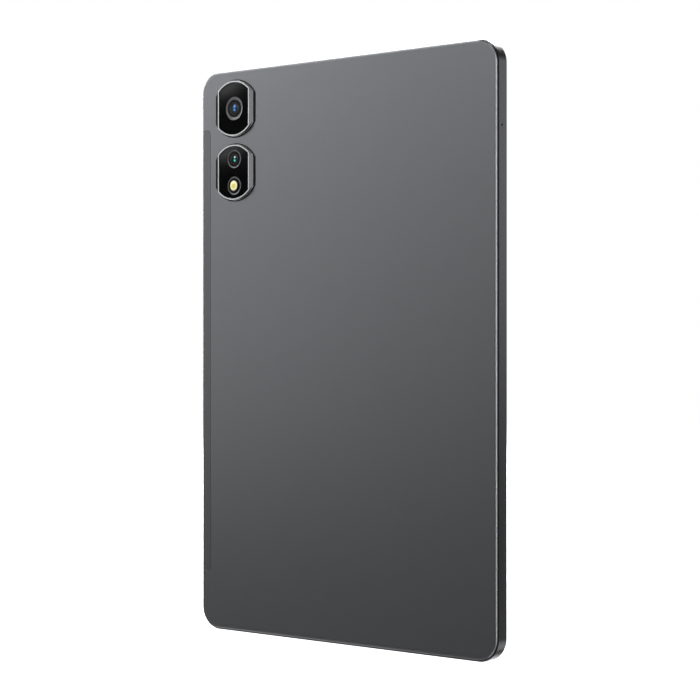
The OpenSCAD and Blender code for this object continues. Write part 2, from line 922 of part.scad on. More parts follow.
// The steel socket round the tray, with the lever's pivot pin
module card_socket() {
    sheet = 0.15;
    color(steel) {
        difference() {
            block([socket_x0, socket_front_y, socket_z0], [socket_x1, board_y, socket_z1]);
            block([socket_x0 + sheet, socket_front_y + sheet, socket_z0 + sheet],
                  [socket_x1 + 1, board_y + 1, socket_z1 - sheet]);
        }
        translate([lever_x, 0, lever_z]) rod_y(lever_pin_r, socket_front_y, board_y);
    }
}

// The rod that a pin pushes in to free the tray
module eject_plunger() {
    tip_x = lever_x + lever_half_t + eject_gap;
    color(steel) translate([tip_x, key_y, eject_z]) rotate([0, 90, 0])
        cylinder(r = eject_r, h = wall_x - eject_sink - tip_x);
}

// The lever that turns the push round into a pull on the tray
module eject_lever() {
    color(gold) translate([lever_x, 0, lever_z]) difference() {
        union() {
            block([-lever_half_t, lever_front_y, -lever_arm],
                  [lever_half_t, lever_back_y, lever_arm]);
            rod_y(lever_hub_r, lever_front_y, lever_back_y);
        }
        rod_y(lever_pin_r + lever_pin_gap, -2, 2);
    }
}

// A printed antenna on the inside of the strip
module antenna_film(z0, z1) {
    color(gold)
        block([wall_x - antenna_depth, antenna_front_y, z0],
              [wall_x - antenna_gap, antenna_back_y, z1]);
}

module antenna_upper() antenna_film(136, 176);
module antenna_lower() antenna_film(34, 112);

// The coaxial lead from the lower antenna to the main board
module antenna_coax() {
    x = 71.5;
    y = 1.85;
    z = 110;
    r = 0.4;
    length = 70;
    color(black) {
        translate([x, y, z]) rotate([0, 90, 0]) cylinder(r = r, h = wall_x - antenna_depth - x);
        translate([x, y, z]) sphere(r);
        translate([x, y, z]) cylinder(r = r, h = length);
        translate([x, 0, z + length]) rod_y(1, board_back_y, board_back_y + 1);
    }
}

// The screws that hold the two boards to the housing
module screws() {
    color(steel) for (p = screw_places) translate([p[0], 0, p[1]]) {
        rod_y(screw_head_r, board_y - screw_head_t, board_y);
        rod_y(screw_r, board_y - overlap, board_y + screw_len);
    }
}

rear_housing();
antenna_cover();
front_frame();
cover_glass();
bezel_print();
display_adhesive();
lcd_cell();
light_guide();
backlight_tray();
display_flex();
main_board();
shield_can_main();
shield_can_radio();
soc_chip();
memory_chip();
radio_chip();
graphite_sheet();
battery_cell_left();
battery_cell_right();
battery_board();
battery_cable();
usb_board();
usb_c_shell();
usb_c_tongue();
main_flex();
speaker_top_left();
speaker_top_right();
speaker_bottom_left();
speaker_bottom_right();
speaker_meshes();
camera_base_main();
camera_base_second();
camera_ring_main();
camera_ring_second();
camera_window_main();
camera_window_second();
lens_ring_main();
lens_ring_second();
lens_ring_flash();
main_camera();
main_camera_lens();
second_camera();
second_camera_lens();
flash_led();
flash_lens();
front_camera();
microphone();
mic_gasket();
power_button();
power_switch();
volume_rocker();
volume_switches();
card_tray();
card_socket();
eject_plunger();
eject_lever();
antenna_upper();
antenna_lower();
antenna_coax();
screws();
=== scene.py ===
import json
import math

import bmesh
import bpy
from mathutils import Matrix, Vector


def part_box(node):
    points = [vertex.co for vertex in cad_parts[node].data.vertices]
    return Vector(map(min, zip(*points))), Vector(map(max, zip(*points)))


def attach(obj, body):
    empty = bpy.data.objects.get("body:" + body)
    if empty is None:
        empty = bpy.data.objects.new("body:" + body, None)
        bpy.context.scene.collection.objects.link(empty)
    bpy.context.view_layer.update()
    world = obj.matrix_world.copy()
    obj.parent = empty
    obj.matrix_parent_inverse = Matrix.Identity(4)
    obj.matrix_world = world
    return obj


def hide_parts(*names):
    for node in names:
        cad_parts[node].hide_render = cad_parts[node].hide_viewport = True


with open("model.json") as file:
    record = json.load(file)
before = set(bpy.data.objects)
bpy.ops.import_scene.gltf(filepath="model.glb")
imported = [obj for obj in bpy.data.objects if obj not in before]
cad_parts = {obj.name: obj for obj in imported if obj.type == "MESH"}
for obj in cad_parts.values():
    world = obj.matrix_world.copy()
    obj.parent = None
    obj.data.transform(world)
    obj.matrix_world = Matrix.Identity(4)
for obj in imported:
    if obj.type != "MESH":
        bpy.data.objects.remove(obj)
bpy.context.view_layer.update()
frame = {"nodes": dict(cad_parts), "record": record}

MM = 0.001

# ---------------------------------------------------------------- sizes, from the frame
housing_low, housing_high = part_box("rear_housing")
glass_low, glass_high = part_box("cover_glass")
lip_low, lip_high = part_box("front_frame")
strip_low, strip_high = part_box("antenna_cover")

HALF_W = housing_high.x
HEIGHT = housing_high.z
MID_Z = HEIGHT / 2
BACK_Y = housing_high.y
FRONT_Y = glass_low.y
RIM_Y = housing_low.y
CORNER_R = 10 * MM
BACK_EDGE_R = 1.4 * MM
FRONT_EDGE_R = 0.45 * MM
SIDE_WALL = 1.6 * MM
RIM_WALL = 0.6 * MM
INNER_BACK_Y = BACK_Y - 1.0 * MM
LEDGE_Y = lip_high.y
KEY_Y = -0.2 * MM
KEY_HALF_W = 1.08 * MM
SLOT_HALF_W = 1.15 * MM
GRILLE_R = 0.5 * MM
GRILLE_PITCH = 2.2 * MM
GRILLE_HOLES = 8
GRILLE_X = 38 * MM
MIC_R = 0.45 * MM
SEAM = 0.07 * MM

STRIP_X = strip_low.x
STRIP_CORNER_R = 2 * MM

ISLAND_X = sum(c.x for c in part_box("camera_ring_main")) / 2
MAIN_Z = sum(c.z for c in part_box("camera_ring_main")) / 2
SECOND_Z = sum(c.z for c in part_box("camera_ring_second")) / 2
LENS_Z = sum(c.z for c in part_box("lens_ring_second")) / 2
FLASH_Z = sum(c.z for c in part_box("lens_ring_flash")) / 2
ARC_SHIFT = 1.1 * MM
MAIN_RING_R, MAIN_RING_BORE = 5.35 * MM, 4.0 * MM
SMALL_RING_R, SMALL_RING_BORE = 4.23 * MM, 3.5 * MM
MAIN_SLEEVE_R, SMALL_SLEEVE_R = 4.6 * MM, 3.7 * MM
MAIN_HOLE_R, SMALL_HOLE_R = 6.5 * MM, 4.75 * MM
CAMERA_BACK_Y = 2.6 * MM
FLASH_LOW, FLASH_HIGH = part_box("flash_lens")
FLASH_R = (FLASH_HIGH.x - FLASH_LOW.x) / 2
MIC_Z = sum(c.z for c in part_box("mic_gasket")) / 2
MIC_Y = sum(c.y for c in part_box("mic_gasket")) / 2

CORNER_STEPS = 32
ROUND_STEPS = 96


# ---------------------------------------------------------------- outlines and solids
def along_x(u, v, w):
    """Outline drawn in Z and Y, depth along X."""
    return Vector((w, v, u))


def along_y(u, v, w):
    """Outline drawn in X and Z, depth along Y."""
    return Vector((u, w, v))


def along_z(u, v, w):
    """Outline drawn in X and Y, depth along Z."""
    return Vector((u, v, w))


def arc(cu, cv, r, start, end, steps):
    """Points of an arc, both ends included; angles in degrees."""
    turns = [math.radians(start + (end - start) * k / steps) for k in range(steps + 1)]
    return [(cu + r * math.cos(a), cv + r * math.sin(a)) for a in turns]


def round_rect(half_u, half_v, r, cu=0.0, cv=0.0, steps=CORNER_STEPS):
    """A rectangle with round corners, about (cu, cv)."""
    u, v = half_u - r, half_v - r
    return (
        arc(cu + u, cv + v, r, 0, 90, steps)
        + arc(cu - u, cv + v, r, 90, 180, steps)
        + arc(cu - u, cv - v, r, 180, 270, steps)
        + arc(cu + u, cv - v, r, 270, 360, steps)
    )


def circle(r, cu=0.0, cv=0.0, steps=ROUND_STEPS):
    return arc(cu, cv, r, 0, 360, steps)[:-1]


def pill(half_len, half_w, cu=0.0, cv=0.0, steps=24):
    """Half-round ends, longest along u."""
    u = half_len - half_w
    return arc(cu + u, cv, half_w, -90, 90, steps) + arc(cu - u, cv, half_w, 90, 270, steps)


def island(r, half, cu=0.0, cv=0.0, steps=40):
    """Two arcs, r from the middle at their peaks, and two flats that face +u and -u."""
    arc_r = r + ARC_SHIFT
    corner = math.degrees(math.acos(half / arc_r))
    return arc(cu, cv - ARC_SHIFT, arc_r, corner, 180 - corner, steps) + arc(
        cu, cv + ARC_SHIFT, arc_r, 180 + corner, 360 - corner, steps
    )


def quarter_round(r, steps=8):
    """(inset, drop) pairs from a face, over its rounded edge, to the side."""
    turns = [math.pi / 2 * k / steps for k in range(steps + 1)]
    return [(r * (1 - math.sin(a)), r * (1 - math.cos(a))) for a in turns]


def new_object(name, bm):
    """The finished mesh as an object in the scene; the bmesh is used up."""
    bmesh.ops.recalc_face_normals(bm, faces=bm.faces)
    mesh = bpy.data.meshes.new(name)
    bm.to_mesh(mesh)
    bm.free()
    obj = bpy.data.objects.new(name, mesh)
    bpy.context.scene.collection.objects.link(obj)
    return obj


def add_solid(bm, sections, place):
    """A closed solid through outlines of one length: sections are (outline, depth) pairs."""
    rings = [[bm.verts.new(place(u, v, w)) for u, v in outline] for outline, w in sections]
    for low, high in zip(rings, rings[1:]):
        for k in range(len(low)):
            n = (k + 1) % len(low)
            bm.faces.new((low[k], low[n], high[n], high[k]))
    bm.faces.new(rings[0])
    bm.faces.new(rings[-1])


def solid(name, sections, place=along_y):
    """An object made of one closed solid."""
    bm = bmesh.new()
    add_solid(bm, sections, place)
    return new_object(name, bm)


def tube(name, sections, place=along_y):
    """A closed ring: the last outline joins the first again."""
    bm = bmesh.new()
    rings = [[bm.verts.new(place(u, v, w)) for u, v in outline] for outline, w in sections]
    for low, high in zip(rings, rings[1:] + rings[:1]):
        for k in range(len(low)):
            n = (k + 1) % len(low)
            bm.faces.new((low[k], low[n], high[n], high[k]))
    return new_object(name, bm)


def joined(name, parts):
    """One object out of several, in the order given."""
    bm = bmesh.new()
    for part in parts:
        bm.from_mesh(part.data)
        bpy.data.objects.remove(part)
    return new_object(name, bm)


def cut(obj, cutter, operation="DIFFERENCE"):
    """Applies a boolean with the cutter, which is used up."""
    step = obj.modifiers.new("cut", "BOOLEAN")
    step.operation = operation
    step.solver = "EXACT"
    step.object = cutter
    graph = bpy.context.evaluated_depsgraph_get()
    mesh = bpy.data.meshes.new_from_object(obj.evaluated_get(graph))
    obj.modifiers.clear()
    obj.data = mesh
    bpy.data.objects.remove(cutter)
    return obj


def shade(obj, angle=28):
    """Smooth shading with crisp edges, and flat faces that stay flat."""
    mesh = obj.data
    mesh.polygons.foreach_set("use_smooth", [True] * len(mesh.polygons))
    mesh.set_sharp_from_angle(angle=math.radians(angle))
    weighted = obj.modifiers.new("normals", "WEIGHTED_NORMAL")
    weighted.keep_sharp = True
    weighted.weight = 100
    return obj


def piece(obj, material, body, replaced=(), angle=28):
    """Shades a mesh, gives it its material, ties it to its body and hides the CAD nodes it
    replaces.
    """
    shade(obj, angle)
    obj.data.materials.clear()
    obj.data.materials.append(material)
    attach(obj, body)
    if replaced:
        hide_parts(*replaced)
    return obj


# ---------------------------------------------------------------- materials
def new_material(name, color, metallic, roughness, **sockets):
    """A Principled material; sockets are constants such as Coat_Weight=0.5."""
    material = bpy.data.materials.new(name)
    material.use_nodes = True
    shader = material.node_tree.nodes["Principled BSDF"]
    shader.inputs["Base Color"].default_value = (*color, 1)
    shader.inputs["Metallic"].default_value = metallic
    shader.inputs["Roughness"].default_value = roughness
    for key, value in sockets.items():
        shader.inputs[key.replace("_", " ")].default_value = value
    material.diffuse_color = (*color, 1)
    return material


def node(material, kind, **inputs):
    """A shader node with constant inputs, such as To_Min=0.2."""
    made = material.node_tree.nodes.new(kind)
    for key, value in inputs.items():
        made.inputs[key.replace("_", " ").title()].default_value = value
    return made


def link(material, source, output, target, socket):
    """Links two nodes; output and socket are names, or numbers where names repeat."""
    material.node_tree.links.new(source.outputs[output], target.inputs[socket])


def shader_of(material):
    return material.node_tree.nodes["Principled BSDF"]


def grain(material, scale, detail=2.0, stretch=(1, 1, 1)):
    """Noise over the object's own coordinates."""
    coords = node(material, "ShaderNodeTexCoord")
    mapping = node(material, "ShaderNodeMapping", Scale=stretch)
    noise = node(material, "ShaderNodeTexNoise", Scale=scale, Detail=detail)
    link(material, coords, "Object", mapping, "Vector")
    link(material, mapping, "Vector", noise, "Vector")
    return noise


def add_bump(material, noise, strength, distance):
    bump = node(material, "ShaderNodeBump", Strength=strength, Distance=distance)
    link(material, noise, "Fac", bump, "Height")
    link(material, bump, "Normal", shader_of(material), "Normal")


def vary(material, noise, socket, low, high):
    """Drives roughness between two values with the noise."""
    ramp = node(material, "ShaderNodeMapRange", To_Min=low, To_Max=high)
    link(material, noise, "Fac", ramp, "Value")
    link(material, ramp, "Result", shader_of(material), socket)


def tint(material, noise, dark, light):
    """Mixes the base colour between two tones with the noise."""
    ramp = node(material, "ShaderNodeValToRGB")
    ramp.color_ramp.elements[0].position = 0.3
    ramp.color_ramp.elements[1].position = 0.7
    ramp.color_ramp.elements[0].color = (*dark, 1)
    ramp.color_ramp.elements[1].color = (*light, 1)
    link(material, noise, "Fac", ramp, "Fac")
    link(material, ramp, "Color", shader_of(material), "Base Color")


def scaled(color, factor):
    """The same hue, darker or lighter."""
    return tuple(c * factor for c in color)


def surface(name, color, metallic, roughness, grain_mm, bump, spread=0.04, **sockets):
    """A material with fine grain: tone, roughness and bump all vary by it."""
    material = new_material(name, color, metallic, roughness, **sockets)
    noise = grain(material, 1 / (grain_mm * MM))
    tint(material, noise, scaled(color, 1 - spread), scaled(color, 1 + spread))
    vary(material, noise, "Roughness", roughness - spread, roughness + spread)
    add_bump(material, noise, bump, grain_mm * MM * 0.5)
    return material


GRAPHITE = (0.148, 0.151, 0.158)
BLACK = (0.012, 0.012, 0.014)

housing_metal = surface("anodised_back", GRAPHITE, 1.0, 0.36, 0.16, 0.12)
key_metal = surface("anodised_keys", GRAPHITE, 1.0, 0.32, 0.12, 0.08)
tray_paint = surface("tray_paint", scaled(GRAPHITE, 0.78), 1.0, 0.38, 0.15, 0.06)
strip_paint = surface("strip_paint", scaled(GRAPHITE, 0.78), 1.0, 0.42, 0.20, 0.10)
black_plastic = surface("black_plastic", BLACK, 0.0, 0.45, 0.25, 0.15)
deep_black = surface(
    "deep_black", (0.002, 0.002, 0.002), 0.0, 0.5, 0.25, 0.05, Specular_IOR_Level=0.1
)
black_print = surface("black_print", scaled(BLACK, 0.5), 0.0, 0.35, 0.30, 0.02)
ring_metal = surface("ring_metal", (0.038, 0.0385, 0.040), 1.0, 0.30, 0.12, 0.03, spread=0.02)
# Painted light: a paler copy of the ring's metal, for the ring's walls that face up or down.
ring_wall_painted_light = surface("ring_wall_painted_light", (0.26, 0.265, 0.27), 1.0, 0.36, 0.12, 0.05, spread=0.02)
cut_rim = surface("cut_rim", (0.39, 0.40, 0.41), 1.0, 0.27, 0.12, 0.02, spread=0.02)
satin = surface("satin_ring", (0.145, 0.145, 0.15), 1.0, 0.30, 0.10, 0.05)
sheet_steel = surface("sheet_steel", (0.60, 0.61, 0.63), 1.0, 0.28, 0.30, 0.03)
gold = surface("gold_plate", (0.83, 0.62, 0.27), 1.0, 0.22, 0.20, 0.02)
board_mask = surface("solder_mask", (0.03, 0.14, 0.10), 0.0, 0.35, 0.60, 0.05)
flex_film = surface("flex_film", (0.45, 0.25, 0.06), 0.0, 0.40, 0.50, 0.05)
chip_resin = surface("chip_resin", (0.05, 0.05, 0.055), 0.0, 0.55, 0.15, 0.10)
graphite_film = surface("graphite_film", (0.12, 0.12, 0.13), 0.2, 0.50, 0.40, 0.08)
pouch_film = surface("pouch_film", (0.10, 0.10, 0.11), 0.3, 0.35, 0.80, 0.10)
rubber = surface("soft_rubber", (0.03, 0.03, 0.03), 0.0, 0.75, 0.25, 0.10)
clear_acrylic = surface("clear_acrylic", (0.85, 0.88, 0.90), 0.0, 0.15, 0.50, 0.01)
screen_off = surface(
    "screen_off", (0.004, 0.004, 0.006), 0.0, 0.30, 0.25, 0.02, Specular_IOR_Level=0.25
)


def glass_material(name, color, roughness, ior):
    """Clear glass with a faint unevenness."""
    material = new_material(name, color, 0.0, roughness, Transmission_Weight=1.0, IOR=ior)
    noise = grain(material, 1 / (2 * MM))
    add_bump(material, noise, 0.01, 0.002 * MM)
    return material


cover_glass = glass_material("cover_glass", (0.93, 0.95, 0.96), 0.02, ior=1.3)
window_glass = surface(
    "window_glass", (0.005, 0.005, 0.006), 0.0, 0.26, 2.0, 0.0, spread=0.01, Alpha=0.08,
    Specular_IOR_Level=0.03,
)


def distance_from(material, x, z, reach, width=1.0):
    """0 at the line through (x, z) along Y, rising to 1 at the reach, which is wider along X."""
    coords = node(material, "ShaderNodeTexCoord")
    flat = node(material, "ShaderNodeMapping")
    flat.inputs["Scale"].default_value = (1 / width, 0, 1)
    flat.inputs["Location"].default_value = (-x / width, 0, -z)
    length = node(material, "ShaderNodeVectorMath")
    length.operation = "LENGTH"
    ramp = node(material, "ShaderNodeMapRange", From_Max=reach)
    link(material, coords, "Object", flat, "Vector")
    link(material, flat, "Vector", length, "Vector")
    link(material, length, "Value", ramp, "Value")
    return ramp


def rings(material, x, z, reach, stops, width=1.0):
    """Colours in rings round a point: stops are (share of the reach, colour) pairs."""
    ramp = node(material, "ShaderNodeValToRGB")
    elements = ramp.color_ramp.elements
    elements[0].position, elements[1].position = stops[0][0], stops[-1][0]
    for position, _ in stops[1:-1]:
        elements.new(position)
    for element, (_, color) in zip(elements, stops):
        element.color = (*color, 1)
    link(material, distance_from(material, x, z, reach, width), "Result", ramp, "Fac")
    return ramp


# A colour Mix node has one socket per data type under each name, so its sockets go by number.
MIX_FACTOR, MIX_A, MIX_B, MIX_RESULT = 0, 6, 7, 2


def lens_material(name, x, z, r, stops, painted_glints):
    """A coated lens: coloured rings, and painted highlights: pale spots given as (up, size,
    colour).
    """
    material = new_material(name, stops[0][1], 0.0, 0.14, Specular_IOR_Level=0.2)
    color, output = rings(material, x, z, r, stops), "Color"
    for up, size, tone in painted_glints:
        spot = rings(material, x, z + up, size, [(0.45, (1, 1, 1)), (1.0, (0, 0, 0))])
        mix = node(material, "ShaderNodeMix")
        mix.data_type = "RGBA"
        mix.inputs[MIX_B].default_value = (*tone, 1)
        link(material, spot, "Color", mix, MIX_FACTOR)
        link(material, color, output, mix, MIX_A)
        color, output = mix, MIX_RESULT
    link(material, color, output, shader_of(material), "Base Color")
    return material


def grey(value):
    """A grey that leans a little towards blue."""
    return (value, value, 1.03 * value)


def black_glass_painted_reflection(name, z):
    """Black glass with a painted reflection: a little paler towards its upper outer corner."""
    material = new_material(name, BLACK, 0.0, 0.35, Specular_IOR_Level=0.01)
    # Painted reflection: these tones lighten the glass towards its upper outer corner.
    tones = [(0.25, 0.050), (0.32, 0.031), (0.43, 0.011), (0.52, 0.004), (0.68, 0.001), (0.8, 0.0)]
    tones = [(position, grey(value)) for position, value in tones]
    reflection_ramp = rings(material, ISLAND_X + 9 * MM, z + 13 * MM, 20 * MM, tones, width=2.0)
    link(material, reflection_ramp, "Color", shader_of(material), "Base Color")
    return material


def aperture_print(name, z, r):
    """Black print with a thin brown line round its opening."""
    material = new_material(name, BLACK, 0.0, 0.4, Specular_IOR_Level=0.1)
    line = rings(
        material, ISLAND_X, z, r + 0.3 * MM, [(0.85, (0.045, 0.036, 0.030)), (1.0, grey(0.001))]
    )
    link(material, line, "Color", shader_of(material), "Base Color")
    return material


blue_lens_painted_glints = lens_material(
    "blue_lens_painted_glints", ISLAND_X, MAIN_Z + 0.15 * MM, 3.0 * MM,
    [(0.0, (0.0, 0.012, 0.14)), (0.40, (0.002, 0.02, 0.10)), (0.56, (0.035, 0.035, 0.055)),
     (0.78, (0.030, 0.030, 0.025)), (1.0, (0.001, 0.001, 0.001))],
    # Painted highlights: pale blue spots above and below the middle, and a purple one near the
    # top.
    [(0.80 * MM, 0.75 * MM, (0.12, 0.50, 1.0)), (-0.70 * MM, 0.70 * MM, (0.08, 0.42, 0.85)),
     (1.75 * MM, 0.6 * MM, (0.07, 0.03, 0.30))],
)
teal_lens_painted_glints = lens_material(
    "teal_lens_painted_glints", ISLAND_X, LENS_Z + 0.15 * MM, 2.3 * MM,
    [(0.0, (0.0, 0.01, 0.01)), (0.5, (0.0, 0.025, 0.03)), (0.72, (0.030, 0.030, 0.030)),
     (1.0, (0.001, 0.001, 0.001))],
    # Painted highlights: a pale spot above the middle and a teal one below it.
    [(0.75 * MM, 0.6 * MM, (0.75, 1.0, 0.95)), (-0.80 * MM, 0.75 * MM, (0.05, 0.75, 0.70))],
)
dark_coating = surface("dark_coating", (0.01, 0.02, 0.08), 0.0, 0.06, 0.50, 0.0, Coat_Weight=1.0)
flash_resin = new_material("flash_resin", (0.95, 0.84, 0.42), 0.0, 0.20, Coat_Weight=0.6)
# The flash lens's colour in rings round its middle: its own yellow in the middle, a painted
# highlight in the pale ring, and dark at its edge.
link(
    flash_resin,
    rings(flash_resin, ISLAND_X, FLASH_Z, 2.4 * MM, [
        (0.0, (0.58, 0.47, 0.07)), (0.35, (0.64, 0.54, 0.12)), (0.7, (0.86, 0.80, 0.40)),
        (0.88, (0.72, 0.68, 0.38)), (1.0, (0.10, 0.08, 0.02)),
    ]),
    "Color", shader_of(flash_resin), "Base Color",
)

CAD_LOOKS = {
    "housing_metal": housing_metal,
    "key_metal": key_metal,
    "strip_plastic": strip_paint,
    "black_plastic": black_plastic,
    "cover_glass": cover_glass,
    "black_print": black_print,
    "clear_adhesive": clear_acrylic,
    "display_glass": screen_off,
    "clear_plastic": clear_acrylic,
    "sheet_steel": sheet_steel,
    "flex_film": flex_film,
    "circuit_board": board_mask,
    "chip_resin": chip_resin,
    "graphite": graphite_film,
    "battery_film": pouch_film,
    "polished_metal": ring_metal,
    "satin_metal": satin,
    "lens_glass": dark_coating,
    "window_glass": window_glass,
    "flash_resin": flash_resin,
    "contact_gold": gold,
    "soft_rubber": rubber,
}

for row in frame["record"]["subparts"]:
    data = frame["nodes"][row["node"]].data
    data.materials.clear()
    data.materials.append(CAD_LOOKS[row["material_slot"]])


# ---------------------------------------------------------------- body
def body_outline(inset):
    """The body's outline, drawn in X and Z, moved inwards by the inset."""
    return round_rect(HALF_W - inset, MID_Z - inset, CORNER_R - inset, 0, MID_Z)


def shell(name):
    """The hollow body, from the outside of the back round to the inside of the back."""
    outside = [(body_outline(i), BACK_Y - d) for i, d in quarter_round(BACK_EDGE_R, 14)]
    front = [(body_outline(i), RIM_Y + d) for i, d in reversed(quarter_round(FRONT_EDGE_R, 6))]
    inside = [
        (body_outline(RIM_WALL), RIM_Y),
        (body_outline(RIM_WALL), LEDGE_Y),
        (body_outline(SIDE_WALL), LEDGE_Y),
        (body_outline(SIDE_WALL), INNER_BACK_Y),
    ]
    return solid(name, outside + front + inside)


def strip_cutter(name, grow):
    """The space of the antenna strip, made larger all round by grow."""
    beyond = 10 * MM
    half_u = (HALF_W + beyond - STRIP_X) / 2 + grow
    half_v = (strip_high.z - strip_low.z) / 2 + grow
    outline = round_rect(half_u, half_v, STRIP_CORNER_R + grow, STRIP_X - grow + half_u, MID_Z)
    return solid(name, [(outline, FRONT_Y - beyond), (outline, BACK_Y + beyond)])


def hole_cutter(outline, places, surface_w, inward, place, edge=0.12 * MM, depth=4 * MM):
    """A cutter for a hole whose mouth has a small chamfer; outline takes how much it grows."""
    sections = [
        (outline(2 * edge), surface_w - inward * edge),
        (outline(0), surface_w + inward * edge),
        (outline(0), surface_w + inward * depth),
    ]
    bm = bmesh.new()
    for du, dv in places:
        moved = [([(u + du, v + dv) for u, v in line], w) for line, w in sections]
        add_solid(bm, moved, place)
    return new_object("cutter", bm)


def grille_places():
    """The two rows of sound holes in a short side."""
    return [
        (side * GRILLE_X + (k - (GRILLE_HOLES - 1) / 2) * GRILLE_PITCH, KEY_Y)
        for side in (-1, 1)
        for k in range(GRILLE_HOLES)
    ]


def build_housing():
    """The aluminium back and sides, with all their openings."""
    housing = shell("housing_shell")
    cut(housing, strip_cutter("cutter", SEAM))
    for z, inward in ((0, 1), (HEIGHT, -1)):
        holes = hole_cutter(
            lambda g: circle(GRILLE_R + g, steps=24), grille_places(), z, inward, along_z
        )
        cut(housing, holes)
    usb = hole_cutter(lambda g: pill(4.5 * MM + g, 1.61 * MM + g), [(0, KEY_Y)], 0, 1, along_z)
    cut(housing, usb)
    power_low, power_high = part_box("power_button")
    power_x = (power_low.x + power_high.x) / 2
    slot = hole_cutter(
        lambda g: pill(5.77 * MM + g, SLOT_HALF_W + g), [(power_x, KEY_Y)], HEIGHT, -1, along_z
    )
    cut(housing, slot)
    mic = hole_cutter(
        lambda g: circle(MIC_R + g, steps=32), [(MIC_Z, MIC_Y)], -HALF_W, 1, along_x
    )
    cut(housing, mic)
    main = hole_cutter(
        lambda g: circle(MAIN_HOLE_R + g), [(ISLAND_X, MAIN_Z)], BACK_Y, -1, along_y
    )
    cut(housing, main)
    small = hole_cutter(
        lambda g: circle(SMALL_HOLE_R + g),
        [(ISLAND_X, LENS_Z), (ISLAND_X, FLASH_Z)],
        BACK_Y,
        -1,
        along_y,
    )
    cut(housing, small)
    return piece(housing, housing_metal, "body", ["rear_housing"])


def build_strip():
    """The antenna strip, with the volume rocker's and the tray's slots."""
    strip = cut(shell("antenna_strip"), strip_cutter("cutter", -SEAM), "INTERSECT")
    rocker_low, rocker_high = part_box("volume_rocker")
    rocker_z = (rocker_low.z + rocker_high.z) / 2
    tray_low, tray_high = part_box("card_tray")
    tray_z = (tray_low.z + tray_high.z) / 2
    rocker = hole_cutter(
        lambda g: pill(12.15 * MM + g, SLOT_HALF_W + g), [(rocker_z, KEY_Y)], HALF_W, -1, along_x
    )
    cut(strip, rocker)
    tray = hole_cutter(
        lambda g: pill(7.6 * MM + g, SLOT_HALF_W + g), [(tray_z, KEY_Y)], HALF_W, -1, along_x
    )
    cut(strip, tray)
    return piece(strip, strip_paint, "body", ["antenna_cover"])


# ---------------------------------------------------------------- screen
def build_screen():
    """The thin frame round the glass, the cover glass and the dark display behind it."""
    inset = 0.65 * MM
    lip_w = 0.4 * MM
    flange_w = 1.9 * MM
    seat_y = glass_high.y + 0.05 * MM
    lip = tube(
        "screen_lip",
        [
            (body_outline(inset), LEDGE_Y),
            (body_outline(inset), lip_low.y + 0.1 * MM),
            (body_outline(inset + 0.1 * MM), lip_low.y),
            (body_outline(inset + lip_w), lip_low.y),
            (body_outline(inset + lip_w), seat_y),
            (body_outline(inset + lip_w + flange_w), seat_y),
            (body_outline(inset + lip_w + flange_w), LEDGE_Y),
        ],
    )
    piece(lip, black_plastic, "body", ["front_frame"])

    glass_inset = HALF_W - glass_high.x
    edge = quarter_round(0.35 * MM, 8)
    sections = [(body_outline(glass_inset + i), FRONT_Y + d) for i, d in edge]
    sections.append((body_outline(glass_inset), glass_high.y - 0.1 * MM))
    sections.append((body_outline(glass_inset + 0.1 * MM), glass_high.y))
    glass = solid("screen_glass", sections)
    piece(glass, cover_glass, "body", ["cover_glass"])

    low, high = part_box("display_adhesive")
    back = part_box("lcd_cell")[1].y
    outline = round_rect(high.x, (high.z - low.z) / 2, 0.8 * MM, 0, MID_Z, steps=8)
    panel = solid("screen_panel", [(outline, low.y), (outline, back)])
    piece(panel, screen_off, "body", ["display_adhesive", "lcd_cell"])


# ---------------------------------------------------------------- camera islands
RING_LOW, RING_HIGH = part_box("camera_ring_main")
BASE_LOW, BASE_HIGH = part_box("camera_base_main")
WINDOW_LOW, WINDOW_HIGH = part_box("camera_window_main")
ISLAND_TOP = RING_HIGH.y
BASE_TOP = RING_LOW.y
RING_R = (RING_HIGH.z - RING_LOW.z) / 2
RING_HALF = (RING_HIGH.x - RING_LOW.x) / 2
BASE_R = (BASE_HIGH.z - BASE_LOW.z) / 2
BASE_HALF = (BASE_HIGH.x - BASE_LOW.x) / 2
WINDOW_Y = WINDOW_LOW.y
PRINT_Y = WINDOW_Y + 0.10 * MM
FLAT_RIM_W = 0.62 * MM
FIT_GAP = 0.05 * MM
POCKET_R = (WINDOW_HIGH.z - WINDOW_LOW.z) / 2 + FIT_GAP
POCKET_HALF = (WINDOW_HIGH.x - WINDOW_LOW.x) / 2 + FIT_GAP
FLAT_HALF = POCKET_HALF + FLAT_RIM_W


def island_at(z, r, half):
    """An island's outline at its place on the back."""
    return island(r, half, ISLAND_X, z)


